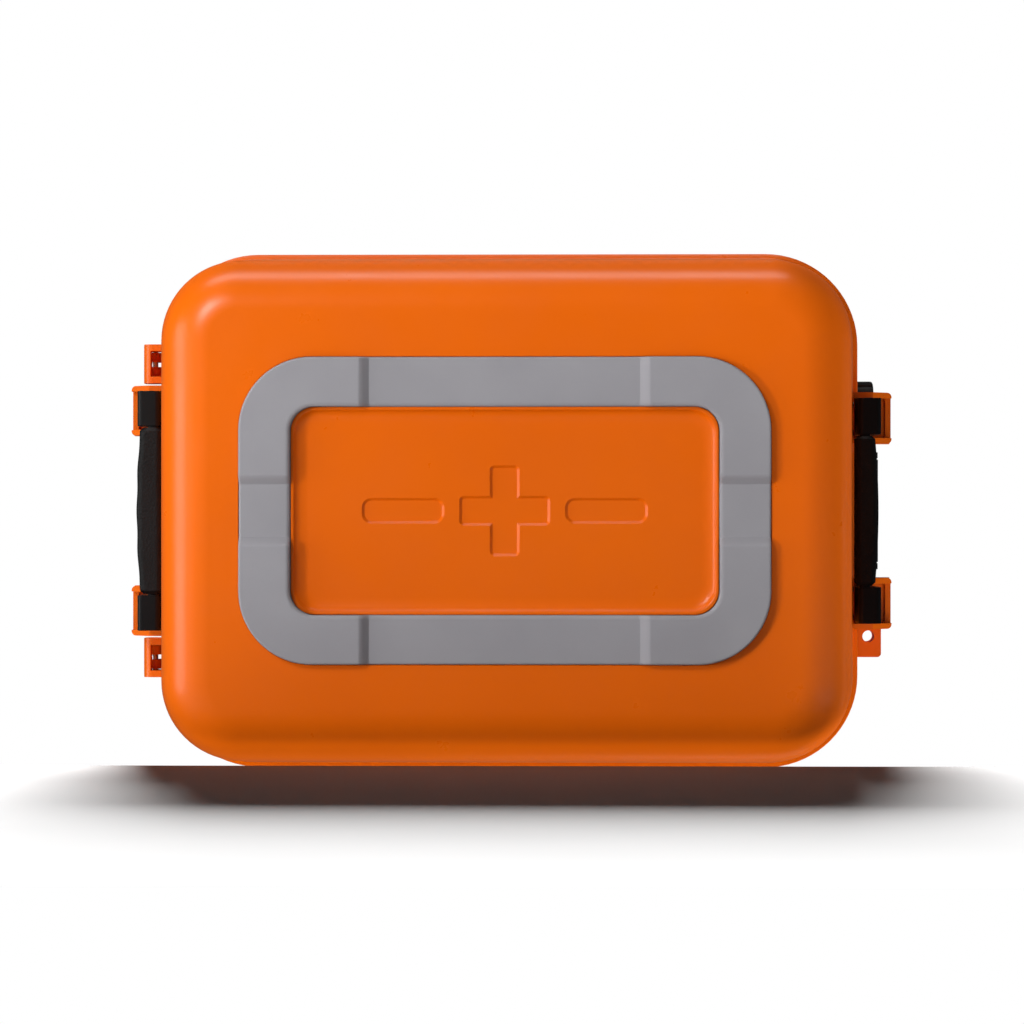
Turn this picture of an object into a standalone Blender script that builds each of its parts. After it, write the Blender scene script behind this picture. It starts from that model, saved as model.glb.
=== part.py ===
"""Hard first aid case: drafted shell, hinged lid, two swinging carry handles, latch, valve and lift-out tray.

Base down, +Z up, +X towards the latch end. Dimensions are in millimetres and are scaled by MM.
"""

import math

import bmesh
import bpy

MM = 0.001
CORNER = 6
PART_Z = 165.0
RIM = (182.5, 135.5, 48.5)
WALL = (180.0, 133.0, 46.0)
BASE = (171.6, 124.6, 40.0)
BASE_Z = 31.0
WALL_Z = 148.4
BASE_FILLET = 26.0
FLOOR_FILLET = 19.5
FOOT_OUTER = (130.5, 75.5, 36.0)
FOOT_INNER = (105.2, 51.1, 12.0)
FOOT_DROP = 3.6
FIT = 0.3
LID_TOP = 216.0
LID_SHOULDER_Z = 194.0
HINGE_X = -190.9
HINGE_Z = 165.15
HINGE_Y = (67.6, 88.2)
HINGE_OUTER_X = -195.4
BARREL_RADIUS = 4.5
PIN_RADIUS = 2.0
BORE_RADIUS = 2.2
PIVOT_X = 185.0
PIVOT_Z = 132.0
GUARD_X = 199.0
GUARD_Z = (120.0, 148.2)
GUARD_Y = {"left": (39.4, 65.4), "right": (35.0, 61.6)}
GUARD_WALL = 3.0
SCREW_INSET = 6.0
SCREW_Z = 144.0
SCREW_RADIUS = 1.6
SCREW_HEAD = 3.0
SCREW_BORE = 1.8
LATCH_AXIS = (189.3, 150.5)
LATCH_SCREW = (19.0, 159.5)
LOCK_LUG = (195.3, 57.0, 77.4)
LOCK_HOLE = (188.6, 66.4)
LOCK_RADIUS = 3.1
VALVE = (-59.3, 190.2)
EMBLEM_Z = (7.5, 9.2)
ENDS = {"left": -1, "right": 1}
SIDES = {"rear": -1, "front": 1}


def clear_scene():
    for obj in list(bpy.data.objects):
        bpy.data.objects.remove(obj, do_unlink=True)


def collection(name, hidden=False):
    group = bpy.data.collections.new(name)
    bpy.context.scene.collection.children.link(group)
    group.hide_render = hidden
    return group


def material(name, color, roughness, metallic=0.0):
    mat = bpy.data.materials.new(name)
    mat.use_nodes = True
    shader = mat.node_tree.nodes["Principled BSDF"]
    shader.inputs["Base Color"].default_value = (*color, 1.0)
    shader.inputs["Roughness"].default_value = roughness
    shader.inputs["Metallic"].default_value = metallic
    return mat


clear_scene()
PARTS = collection("first_aid_case")
CUTTERS = collection("cutters", hidden=True)
ORANGE = material("shell_orange", (0.83, 0.14, 0.005), 0.42)
GREY = material("foot_rubber", (0.30, 0.29, 0.32), 0.7)
BLACK = material("black_nylon", (0.012, 0.012, 0.013), 0.45)
GRIP = material("grip_rubber", (0.014, 0.014, 0.016), 0.8)
STEEL = material("steel", (0.6, 0.6, 0.62), 0.3, 1.0)
SEAL = material("gasket_rubber", (0.03, 0.03, 0.03), 0.85)
TRAY = material("tray_plastic", (0.62, 0.62, 0.6), 0.5)


def add(name, bm, mat, origin=(0.0, 0.0, 0.0)):
    """Node from a mesh in world millimetres, with its origin at the given point."""
    mesh = bpy.data.meshes.new(name)
    bmesh.ops.translate(bm, vec=[-c for c in origin], verts=bm.verts)
    bmesh.ops.scale(bm, vec=(MM, MM, MM), verts=bm.verts)
    bmesh.ops.recalc_face_normals(bm, faces=bm.faces)
    bm.to_mesh(mesh)
    bm.free()
    obj = bpy.data.objects.new(name, mesh)
    obj.location = [c * MM for c in origin]
    if mat:
        mesh.materials.append(mat)
        PARTS.objects.link(obj)
    else:
        CUTTERS.objects.link(obj)
        obj.hide_render = True
        obj.display_type = "WIRE"
    return obj


def boolean(obj, bm, operation="DIFFERENCE"):
    cutter = add(f"{obj.name}_cut_{len(obj.modifiers)}", bm, None)
    mod = obj.modifiers.new(cutter.name, "BOOLEAN")
    mod.operation = operation
    mod.object = cutter
    mod.solver = "EXACT"


def rounded(hx, hy, r, z, n=CORNER):
    """Rounded rectangle about the Z axis, as points anticlockwise from above."""
    points = []
    for sx, sy, start in ((1, 1, 0), (-1, 1, 90), (-1, -1, 180), (1, -1, 270)):
        for i in range(n + 1):
            a = math.radians(start + 90 * i / n)
            points.append((sx * (hx - r) + r * math.cos(a), sy * (hy - r) + r * math.sin(a), z))
    return points


def loft(rings, closed=False):
    bm = bmesh.new()
    rows = [[bm.verts.new(p) for p in ring] for ring in rings]
    pairs = list(zip(rows, rows[1:]))
    if closed:
        pairs.append((rows[-1], rows[0]))
    for low, high in pairs:
        for i in range(len(low)):
            j = (i + 1) % len(low)
            bm.faces.new((low[i], low[j], high[j], high[i]))
    if not closed:
        bm.faces.new(list(reversed(rows[0])))
        bm.faces.new(rows[-1])
    bmesh.ops.recalc_face_normals(bm, faces=bm.faces)
    return bm


def box(x0, x1, y0, y1, z0, z1):
    bm = bmesh.new()
    bmesh.ops.create_cube(bm, size=1.0)
    bmesh.ops.scale(bm, vec=(abs(x1 - x0), abs(y1 - y0), abs(z1 - z0)), verts=bm.verts)
    bmesh.ops.translate(bm, vec=((x0 + x1) / 2, (y0 + y1) / 2, (z0 + z1) / 2), verts=bm.verts)
    return bm


def cylinder(radius, start, end, axis, segments=12):
    """Cylinder between two points that differ along one axis only."""
    bm = bmesh.new()
    depth = abs(end[axis] - start[axis])
    bmesh.ops.create_cone(
        bm, cap_ends=True, segments=segments, radius1=radius, radius2=radius, depth=depth
    )
    for vert in bm.verts:
        x, y, z = vert.co
        if axis == 0:
            vert.co = (z, x, y)
        elif axis == 1:
            vert.co = (y, z, x)
    middle = [(a + b) / 2 for a, b in zip(start, end)]
    bmesh.ops.translate(bm, vec=middle, verts=bm.verts)
    return bm


def prism(outline, y0, y1):
    """Extrusion along Y of an (x, z) outline."""
    return loft([[(x, y0, z) for x, z in outline], [(x, y1, z) for x, z in outline]])


def arc(cx, cz, r, start, stop, steps):
    span = (stop - start) / steps
    angles = [math.radians(start + span * i) for i in range(steps + 1)]
    return [(cx + r * math.cos(a), cz + r * math.sin(a)) for a in angles]


def join(bm, other):
    """Adds the faces of a separate closed mesh to a cutter."""
    mesh = bpy.data.meshes.new("joined")
    other.to_mesh(mesh)
    other.free()
    bm.from_mesh(mesh)
    bpy.data.meshes.remove(mesh)
    return bm


def wall_x(z):
    """Distance of the drafted end wall from the middle plane at height z."""
    share = (z - BASE_Z) / (WALL_Z - BASE_Z)
    return BASE[0] + (WALL[0] - BASE[0]) * share


def inset(section, d):
    return (section[0] - d, section[1] - d, section[2] - d)


def fillet_rings(section, z, radius, steps, down=True):
    """Rings of a quarter-round from a vertical wall into a flat face."""
    rings = []
    for i in range(1, steps + 1):
        a = math.radians(90 * i / steps)
        d = radius * (1 - math.cos(a))
        height = radius * math.sin(a)
        rings.append(rounded(*inset(section, d), z - height if down else z + height))
    return rings


def foot_channel():
    outer = inset(FOOT_OUTER, -FIT)
    inner = inset(FOOT_INNER, FIT)
    rings = [rounded(*outer, 4.0), rounded(*outer, 6.5), rounded(*inner, 6.5), rounded(*inner, 4.0)]
    return loft(rings, closed=True)


def panel_recess():
    steps = ((103.9, 4.0), (103.9, 4.9), (103.3, 5.9), (102.0, 7.1), (100.2, 7.8), (98.0, 8.0))
    return loft([rounded(hx, hx - 54.1, hx - 91.4, z) for hx, z in steps])


def panel_emblem():
    """Plain cross between two short bars."""
    mesh = loft([cross_outline(22.0, 7.0, z) for z in EMBLEM_Z])
    for sign in (-1, 1):
        bar = box(30.0 * sign, 70.0 * sign, -6.0, 6.0, *EMBLEM_Z)
        upright = [e for e in bar.edges if abs(e.verts[0].co.z - e.verts[1].co.z) > 1]
        bmesh.ops.bevel(bar, geom=upright, offset=4.5, segments=3, affect="EDGES", profile=0.5)
        join(mesh, bar)
    return mesh


def cross_outline(reach, half, z):
    quarter = [(reach, -half), (reach, half), (half, half)]
    points = []
    for k in range(4):
        a = math.radians(90 * k)
        for x, y in quarter:
            points.append((x * math.cos(a) - y * math.sin(a), x * math.sin(a) + y * math.cos(a), z))
    return points


def lock_lug(z0, z1):
    lug = box(181.5, *LOCK_LUG, z0, z1)
    upright = [e for e in lug.edges if abs(e.verts[0].co.z - e.verts[1].co.z) > 1]
    outer = [e for e in upright if e.verts[0].co.x > 190]
    bmesh.ops.bevel(lug, geom=outer, offset=3.0, segments=3, affect="EDGES", profile=0.5)
    return lug


def hinge_lug_outline():
    barrel = arc(HINGE_X, HINGE_Z, BARREL_RADIUS, 135, 360, 9)
    return [(-181.5, 165.6), (-181.5, 176.0), (-184.5, 176.0)] + barrel


def hinge_line(sign, extra):
    """Two ends of the hinge line at one lug, that much past the lug's faces."""
    low, high = HINGE_Y
    return (HINGE_X, sign * (low - extra), HINGE_Z), (HINGE_X, sign * (high + extra), HINGE_Z)


def hinge_bracket(side):
    """Two cheeks, a low outer wall and a back plate, with a bore for the pin."""
    low, high = HINGE_Y
    back = -RIM[0] - FIT
    foot = [(back, 150.8), (-191.0, 150.8), (HINGE_OUTER_X, 156.0)]
    barrel = arc(HINGE_X, HINGE_Z, BARREL_RADIUS, 0, 180, 8)
    bm = prism(foot + barrel[::-1] + [(back, 164.6)], low, high)
    outer = [v for v in bm.verts if v.co.y > high - 0.1 and v.co.x < HINGE_OUTER_X + 0.1]
    edges = [e for e in bm.edges if all(v in outer for v in e.verts)]
    bmesh.ops.bevel(bm, geom=edges, offset=2.6, segments=3, affect="EDGES", profile=0.5)
    sign = SIDES[side]
    bracket = add(f"hinge_bracket_{side}", flip(bm, 1, sign), ORANGE)
    y0, y1 = low + 3.5, high - 3.5
    boolean(bracket, flip(box(-191.5, back - 1.2, y0, y1, 145.0, 175.0), 1, sign))
    boolean(bracket, flip(box(-200.0, back + 1.0, y0, y1, 159.6, 175.0), 1, sign))
    boolean(bracket, cylinder(BORE_RADIUS, *hinge_line(sign, 2.0), 1))


def lower_shell():
    rings = [rounded(*inset(BASE, BASE_FILLET), BASE_Z - BASE_FILLET)]
    rings += fillet_rings(BASE, BASE_Z, BASE_FILLET, 6)[-2::-1]
    rings += [rounded(*BASE, BASE_Z), rounded(*WALL, WALL_Z), rounded(*RIM, 150.0), rounded(*RIM, PART_Z)]
    seat = inset(RIM, 8.0)
    mouth = inset(RIM, 11.0)
    inner = inset(BASE, 4.0)
    rings += [rounded(*seat, PART_Z), rounded(*seat, 159.6), rounded(*mouth, 159.6), rounded(*mouth, 152.0)]
    rings += [rounded(*inset(WALL, 4.3), 147.0), rounded(*inner, BASE_Z)]
    rings += fillet_rings(inner, BASE_Z, FLOOR_FILLET, 4)
    shell = add("lower_shell", loft(rings), ORANGE)
    boolean(shell, lock_lug(156.0, 164.8), "UNION")
    boolean(shell, foot_channel())
    boolean(shell, panel_recess())
    boolean(shell, panel_emblem())
    boolean(shell, cylinder(LOCK_RADIUS, (*LOCK_HOLE, 150.5), (*LOCK_HOLE, 170.0), 2, 16))
    rows = [(sign * 172.0, sign * 183.0, y, SCREW_Z) for end, sign in ENDS.items() for y in screw_rows(end)]
    rows += [(176.4, 184.0, sign * LATCH_SCREW[0], LATCH_SCREW[1]) for sign in SIDES.values()]
    boolean(shell, screw_bores(rows))
    return shell


def screw_rows(end):
    low, high = GUARD_Y[end]
    rows = []
    for sign in SIDES.values():
        rows += [sign * (low + SCREW_INSET), sign * (high - SCREW_INSET)]
    return rows


def screw_bores(rows):
    """One cutter with a bore along X for each (x0, x1, y, z)."""
    holes = None
    for x0, x1, y, z in rows:
        bore = cylinder(SCREW_BORE, (x0, y, z), (x1, y, z), 0, 10)
        holes = join(holes, bore) if holes else bore
    return holes


def foot_ring():
    """Band under the base with raised corners and sloped steps down to the middle of each run."""
    xo, yo, ro = FOOT_OUTER
    xi, yi, ri = FOOT_INNER
    quarter = [(xo, 12.0, xi, 12.0, FOOT_DROP), (xo, 18.0, xi, 18.0, 0.0)]
    for i in range(CORNER + 1):
        a = math.radians(90 * i / CORNER)
        c, s = math.cos(a), math.sin(a)
        quarter.append((xo - ro + ro * c, yo - ro + ro * s, xi - ri + ri * c, yi - ri + ri * s, 0.0))
    quarter += [(72.0, yo, 72.0, yi, 0.0), (65.5, yo, 65.5, yi, FOOT_DROP)]
    stations = list(quarter)
    stations += [(-a, b, -c, d, z) for a, b, c, d, z in reversed(quarter)]
    stations += [(-a, -b, -c, -d, z) for a, b, c, d, z in quarter]
    stations += [(a, -b, c, -d, z) for a, b, c, d, z in reversed(quarter)]
    rings = []
    for share, rise in ((0.0, None), (0.0, 1.0), (0.05, 0.0), (0.90, 0.0), (1.0, 1.6), (1.0, None)):
        ring = []
        for ax, ay, bx, by, z in stations:
            height = 6.2 if rise is None else z + rise
            ring.append((ax + (bx - ax) * share, ay + (by - ay) * share, height))
        rings.append(ring)
    return add("foot_ring", loft(rings, closed=True), GREY)


def lid_shell():
    shoulder = inset(RIM, 4.3)
    roof = inset(shoulder, 22.0)
    lip = inset(RIM, 8.0)
    rings = [rounded(*roof, LID_TOP)]
    rings += fillet_rings(shoulder, LID_SHOULDER_Z, 22.0, 5, down=False)[-2::-1]
    rings += [rounded(*shoulder, LID_SHOULDER_Z), rounded(*WALL, 178.6), rounded(*RIM, 177.0)]
    rings += [rounded(*RIM, 165.3), rounded(*inset(RIM, 2.3), 165.3), rounded(*inset(RIM, 2.3), 168.4)]
    rings += [rounded(*inset(RIM, 5.7), 168.4), rounded(*inset(RIM, 5.7), 165.3), rounded(*lip, 165.3)]
    rings += [rounded(*lip, LID_SHOULDER_Z)]
    rings += fillet_rings(lip, LID_SHOULDER_Z, 16.0, 4, down=False)
    lid = add("lid_shell", loft(rings), ORANGE, (HINGE_X, 0.0, HINGE_Z))
    boolean(lid, loft([rounded(134.0, 79.0, 39.5, 213.5), rounded(135.0, 80.0, 40.5, 217.0)]))
    low, high = HINGE_Y
    for sign in (-1, 1):
        for y0, y1 in ((low + 4.0, low + 9.0), (high - 9.0, high - 4.0)):
            boolean(lid, prism(hinge_lug_outline(), sign * y0, sign * y1), "UNION")
        boolean(lid, cylinder(BORE_RADIUS, *hinge_line(sign, 2.0), 1))
    boolean(lid, lock_lug(165.5, 173.5), "UNION")
    boolean(lid, cylinder(LOCK_RADIUS, (*LOCK_HOLE, 160.0), (*LOCK_HOLE, 176.5), 2, 16))
    ledge = [(178.5, 179.5), (182.0, 179.5), (183.3, 180.8), (183.3, 183.8), (178.5, 183.8)]
    boolean(lid, prism(ledge, -23.0, 23.0), "UNION")
    boolean(lid, cylinder(6.2, (170.0, *VALVE), (186.0, *VALVE), 0, 20))
    return lid


def lid_gasket():
    outer, inner = inset(RIM, 2.45), inset(RIM, 5.55)
    rings = [rounded(*outer, 165.1), rounded(*outer, 168.1), rounded(*inner, 168.1), rounded(*inner, 165.1)]
    return add("lid_gasket", loft(rings, closed=True), SEAL)


def hinge_pin(side):
    add(f"hinge_pin_{side}", cylinder(PIN_RADIUS, *hinge_line(SIDES[side], -0.2), 1), STEEL)


def guard(end, side):
    """Hooded bracket for one handle arm: roof, two cheeks and a short outer wall."""
    low, high = GUARD_Y[end]
    sx, sy = ENDS[end], SIDES[side]
    z0, z1 = GUARD_Z
    outline = [(wall_x(z0) + FIT, z0), (188.5, z0), (GUARD_X, 131.0), (GUARD_X, z1), (wall_x(z1) + FIT, z1)]
    bm = prism(outline, low, high)
    upright = [e for e in bm.edges if abs(e.verts[0].co.z - e.verts[1].co.z) > 1]
    edges = [e for e in upright if all(v.co.x > GUARD_X - 0.1 for v in e.verts)]
    bmesh.ops.bevel(bm, geom=edges, offset=2.4, segments=3, affect="EDGES", profile=0.5)
    obj = add(f"{end}_guard_{side}", flip(bm, sx, sy), ORANGE)
    y0, y1 = low + GUARD_WALL, high - GUARD_WALL
    boolean(obj, flip(box(170.0, GUARD_X - GUARD_WALL, y0, y1, 110.0, 141.2), sx, sy))
    boolean(obj, flip(box(180.0, GUARD_X + 5.0, y0, y1, 109.0, 137.6), sx, sy))
    boolean(obj, cylinder(BORE_RADIUS, *pivot_line(end, side, low - 2.0, high + 2.0), 1))
    rows = [(sx * 176.0, sx * 190.0, sy * y, SCREW_Z) for y in (low + SCREW_INSET, high - SCREW_INSET)]
    boolean(obj, screw_bores(rows))
    return obj


def pivot_line(end, side, y0, y1):
    """Two ends of a line on one handle's pivot axis."""
    x, sy = ENDS[end] * PIVOT_X, SIDES[side]
    return (x, sy * y0, PIVOT_Z), (x, sy * y1, PIVOT_Z)


def flip(bm, sx, sy):
    """Mirrors a mesh made for the +X, +Y corner into another corner."""
    bmesh.ops.scale(bm, vec=(sx, sy, 1.0), verts=bm.verts)
    bmesh.ops.recalc_face_normals(bm, faces=bm.faces)
    return bm


def screw(name, profile, y, z):
    """Screw along X from (x, radius) pairs."""
    add(name, turned_x(profile, y, z, 10), STEEL)


def guard_screws(end, side):
    low, high = GUARD_Y[end]
    sx, sy = ENDS[end], SIDES[side]
    sizes = ((173.2, SCREW_HEAD), (175.1, SCREW_HEAD), (175.1, SCREW_RADIUS), (189.4, SCREW_RADIUS))
    profile = [(sx * x, r) for x, r in sizes]
    for tag, y in (("inner", low + SCREW_INSET), ("outer", high - SCREW_INSET)):
        screw(f"{end}_guard_{side}_screw_{tag}", profile, sy * y, SCREW_Z)


def pivot_pin(end, side):
    low, high = GUARD_Y[end]
    ends = pivot_line(end, side, low + FIT, high - FIT)
    add(f"{end}_pivot_pin_{side}", cylinder(PIN_RADIUS, *ends, 1), STEEL)


def handle(end):
    """Bail: two arms hung on the pins and a cross bar below them."""
    low, high = GUARD_Y[end]
    sx = ENDS[end]
    y0, y1 = low + 4.0, high - 4.0
    bar = round_bar(-y1, y1, 179.2, 184.6, 83.0, 99.0)
    obj = add(f"{end}_handle", flip(bar, sx, 1), BLACK, (sx * PIVOT_X, 0.0, PIVOT_Z))
    outline = arc(PIVOT_X, PIVOT_Z, BARREL_RADIUS, 0, 180, 8)
    outline += [(178.6, 112.0), (178.6, 84.5), (180.5, 82.2), (187.6, 82.2)]
    outline += [(190.2, 84.5), (190.2, 100.0), (189.5, 120.0)]
    for side, sy in SIDES.items():
        boolean(obj, flip(prism(outline, y0, y1), sx, sy), "UNION")
        boolean(obj, cylinder(BORE_RADIUS, *pivot_line(end, side, y0 - 2.0, y1 + 2.0), 1))
    return obj


def round_bar(y0, y1, x0, x1, z0, z1, width=1.5):
    bar = box(x0, x1, y0, y1, z0, z1)
    along = [e for e in bar.edges if abs(e.verts[0].co.y - e.verts[1].co.y) > 1]
    bmesh.ops.bevel(bar, geom=along, offset=width, segments=2, affect="EDGES", profile=0.5)
    return bar


def grip(end):
    """Moulded sleeve around the cross bar, with a bowed outer face."""
    sx = ENDS[end]
    half = GUARD_Y[end][0] + 3.2
    face, bow = {"left": (188.6, 1.9), "right": (187.0, 1.8)}[end]
    rings = []
    for share in (-1.0, -0.94, -0.6, -0.3, 0.0, 0.3, 0.6, 0.94, 1.0):
        trim = 1.2 if abs(share) == 1.0 else 0.0
        out = face + bow * (1 - share * share) - trim
        ring = []
        for x, z in rounded_section(177.3 + trim, out, 80.6 + trim, 101.4 - trim, 3.0):
            ring.append((x, share * half, z))
        rings.append(ring)
    sleeve = flip(loft(rings), sx, 1)
    obj = add(f"{end}_grip", sleeve, GRIP, (sx * PIVOT_X, 0.0, PIVOT_Z))
    bore = round_bar(-half - 3, half + 3, 178.9, 184.9, 82.7, 99.3, 1.4)
    boolean(obj, flip(bore, sx, 1))
    return obj


def rounded_section(x0, x1, z0, z1, r):
    points = []
    centres = ((x1 - r, z1 - r), (x0 + r, z1 - r), (x0 + r, z0 + r), (x1 - r, z0 + r))
    for (cx, cz), start in zip(centres, (0, 90, 180, 270)):
        points += arc(cx, cz, r, start, start + 90, 3)
    return points


def latch():
    ax, az = LATCH_AXIS
    ear = [(182.8, 150.8), (186.5, 145.9), (190.8, 145.9), (193.0, 148.5), (193.0, 153.0), (190.3, 157.0)]
    ear += [(186.4, 163.8), (182.8, 163.8)]
    base = add("latch_base", box(182.8, 185.2, -30.8, 30.8, 155.6, 163.8), BLACK)
    for sign in SIDES.values():
        boolean(base, prism(ear, sign * 27.6, sign * 30.8), "UNION")
    bore = ((ax, -34.0, az), (ax, 34.0, az))
    boolean(base, cylinder(BORE_RADIUS, *bore, 1))
    y, z = LATCH_SCREW
    boolean(base, screw_bores([(180.0, 188.0, sign * y, z) for sign in SIDES.values()]))
    outline = [(187.2, 155.4), (187.2, 184.6), (184.0, 184.6), (184.0, 186.8), (185.0, 188.4)]
    outline += [(187.2, 190.4), (192.0, 191.2), (193.3, 190.0), (192.8, 188.6), (191.0, 186.5)]
    outline += [(190.6, 183.0), (190.6, 158.0)]
    outline += arc(ax, az, 4.0, 55, -235, 14)
    lever = add("latch_lever", prism(outline, -27.0, 27.0), BLACK, (ax, 0.0, az))
    boolean(lever, cylinder(BORE_RADIUS, *bore, 1))
    add("latch_pin", cylinder(PIN_RADIUS, (ax, -30.4, az), (ax, 30.4, az), 1), STEEL)
    profile = ((186.8, 2.3), (185.4, SCREW_HEAD), (185.4, SCREW_RADIUS), (177.0, SCREW_RADIUS))
    for side, sign in SIDES.items():
        screw(f"latch_screw_{side}", profile, sign * y, z)


def valve():
    y, z = VALVE
    profile = ((175.0, 6.0), (180.3, 6.0), (180.3, 10.6), (182.0, 10.6), (182.0, 2.6), (187.0, 2.6))
    body = turned_x(profile, y, z)
    add("valve_body", body, BLACK)
    knob = turned_x(((182.4, 8.8), (183.2, 10.2), (192.0, 10.2), (193.2, 8.6)), y, z)
    obj = add("valve_knob", knob, BLACK, (182.4, y, z))
    boolean(obj, cylinder(2.9, (181.0, y, z), (187.5, y, z), 0, 16))
    for k in range(6):
        a = math.radians(60 * k + 30)
        cy, cz = y + 10.8 * math.cos(a), z + 10.8 * math.sin(a)
        boolean(obj, cylinder(1.8, (184.0, cy, cz), (194.4, cy, cz), 0, 8))


def turned_x(profile, y, z, segments=20):
    """Solid of revolution about an axis parallel to X."""
    rings = []
    for x, r in profile:
        steps = [2 * math.pi * i / segments for i in range(segments)]
        rings.append([(x, y + r * math.cos(a), z + r * math.sin(a)) for a in steps])
    return loft(rings)


def tray():
    flange = inset(RIM, 9.4)
    wall = inset(RIM, 11.9)
    foot = inset(wall, 3.1)
    rings = [rounded(*inset(foot, 8.0), 120.0)]
    rings += [rounded(*inset(foot, 2.3), 122.3), rounded(*foot, 128.0), rounded(*wall, 159.9)]
    rings += [rounded(*flange, 159.9), rounded(*flange, 162.2), rounded(*inset(wall, 2.2), 162.2)]
    rings += [rounded(*inset(foot, 2.2), 128.0), rounded(*inset(foot, 8.0), 122.4)]
    obj = add("tray", loft(rings), TRAY)
    boolean(obj, box(-167.5, 167.5, -1.0, 1.0, 121.2, 156.0), "UNION")
    for x in (-56.0, 56.0):
        boolean(obj, box(x - 1.0, x + 1.0, -120.0, 120.0, 121.2, 150.0), "UNION")
    return obj


lower_shell()
foot_ring()
lid_shell()
lid_gasket()
for side in SIDES:
    hinge_bracket(side)
    hinge_pin(side)
for end in ENDS:
    handle(end)
    grip(end)
    for side in SIDES:
        guard(end, side)
        guard_screws(end, side)
        pivot_pin(end, side)
latch()
valve()
tray()
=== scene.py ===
"""Hard first aid case: detailed pieces, materials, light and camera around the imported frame.

Lengths in the shape code are millimetres and are scaled by MM when a piece is made.
"""

import math

import bmesh
import bpy
from mathutils import Matrix, Vector


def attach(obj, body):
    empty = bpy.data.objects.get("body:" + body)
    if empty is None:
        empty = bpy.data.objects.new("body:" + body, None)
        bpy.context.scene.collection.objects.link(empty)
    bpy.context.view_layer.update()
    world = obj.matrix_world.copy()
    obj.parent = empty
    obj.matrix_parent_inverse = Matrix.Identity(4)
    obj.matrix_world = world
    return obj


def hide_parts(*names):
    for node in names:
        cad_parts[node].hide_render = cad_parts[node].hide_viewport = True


MM = 0.001
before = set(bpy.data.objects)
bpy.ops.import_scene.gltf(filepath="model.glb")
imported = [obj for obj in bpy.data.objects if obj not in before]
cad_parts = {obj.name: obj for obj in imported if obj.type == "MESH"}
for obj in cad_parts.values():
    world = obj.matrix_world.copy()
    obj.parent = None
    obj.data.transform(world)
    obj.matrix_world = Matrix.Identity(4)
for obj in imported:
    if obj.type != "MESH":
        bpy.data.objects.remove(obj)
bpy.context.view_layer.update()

# Driving sizes of the case, as in the frame.
CORNER = 18
PART_Z = 165.0
RIM = (182.5, 135.5, 48.5)
WALL = (180.0, 133.0, 46.0)
BASE = (171.6, 124.6, 40.0)
BASE_Z = 31.0
WALL_Z = 148.4
BASE_FILLET = 26.0
FLOOR_FILLET = 19.5
FOOT_OUTER = (130.5, 75.5, 36.0)
FOOT_INNER = (105.2, 51.1, 12.0)
FOOT_DROP = 3.6
BASE_FLAT_Z = 5.0
RECESS_Z = 8.0
EMBLEM_Z = (7.4, 9.2)
LID_TOP = 216.0
LID_SHOULDER_Z = 194.0
FIT = 0.3
BORE_RADIUS = 2.2
PIN_RADIUS = 2.0
SCREW_RADIUS = 1.6
SCREW_HEAD = 3.0
SCREW_BORE = 1.8
SCREW_INSET = 6.0
SCREW_Z = 144.0
HINGE = (-190.9, 165.15)
HINGE_Y = (67.6, 88.2)
HINGE_OUTER_X = -195.4
BARREL_RADIUS = 4.5
PIVOT = (185.0, 132.0)
GUARD_X = 199.0
GUARD_Y = {"left": (39.4, 65.4), "right": (35.0, 61.6)}
GUARD_Z = (120.0, 148.2)
GUARD_WALL = 2.9
LATCH = (189.3, 150.5)
LATCH_SCREW = (19.0, 159.5)
LOCK_LUG = (195.3, 57.0, 77.4)
LOCK_HOLE = (188.6, 66.4)
LOCK_RADIUS = 3.1
VALVE = (-59.3, 190.2)
ENDS = {"left": -1, "right": 1}
SIDES = {"rear": -1, "front": 1}


# ---------------------------------------------------------------- materials


def new_material(name, color, roughness, metallic=0.0, specular=0.5):
    mat = bpy.data.materials.new(name)
    mat.use_nodes = True
    shader = mat.node_tree.nodes["Principled BSDF"]
    shader.inputs["Base Color"].default_value = (*color, 1.0)
    shader.inputs["Roughness"].default_value = roughness
    shader.inputs["Metallic"].default_value = metallic
    shader.inputs["Specular IOR Level"].default_value = specular
    return mat, mat.node_tree, shader


def texture(tree, kind, scale, stretch=(1.0, 1.0, 1.0), **inputs):
    """Procedural texture in object coordinates."""
    coords = tree.nodes.new("ShaderNodeTexCoord")
    mapping = tree.nodes.new("ShaderNodeMapping")
    mapping.inputs["Scale"].default_value = stretch
    tree.links.new(coords.outputs["Object"], mapping.inputs["Vector"])
    node = tree.nodes.new(kind)
    tree.links.new(mapping.outputs["Vector"], node.inputs["Vector"])
    node.inputs["Scale"].default_value = scale
    for key, value in inputs.items():
        node.inputs[key].default_value = value
    return node


def spread(tree, source, low, high, out_low, out_high):
    node = tree.nodes.new("ShaderNodeMapRange")
    for key, value in (("From Min", low), ("From Max", high), ("To Min", out_low), ("To Max", out_high)):
        node.inputs[key].default_value = value
    tree.links.new(source, node.inputs["Value"])
    return node.outputs["Result"]


def blend_color(tree, factor, first, second):
    node = tree.nodes.new("ShaderNodeMix")
    node.data_type = "RGBA"
    tree.links.new(factor, node.inputs["Factor"])
    for socket, value in ((node.inputs[6], first), (node.inputs[7], second)):
        if isinstance(value, tuple):
            socket.default_value = (*value, 1.0)
        else:
            tree.links.new(value, socket)
    return node.outputs[2]


def add_bumps(tree, shader, layers):
    """Chains bump nodes from (height socket, distance in metres, strength)."""
    last = None
    for height, distance, strength in layers:
        bump = tree.nodes.new("ShaderNodeBump")
        bump.inputs["Distance"].default_value = distance
        bump.inputs["Strength"].default_value = strength
        tree.links.new(height, bump.inputs["Height"])
        if last:
            tree.links.new(last, bump.inputs["Normal"])
        last = bump.outputs["Normal"]
    tree.links.new(last, shader.inputs["Normal"])


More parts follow.
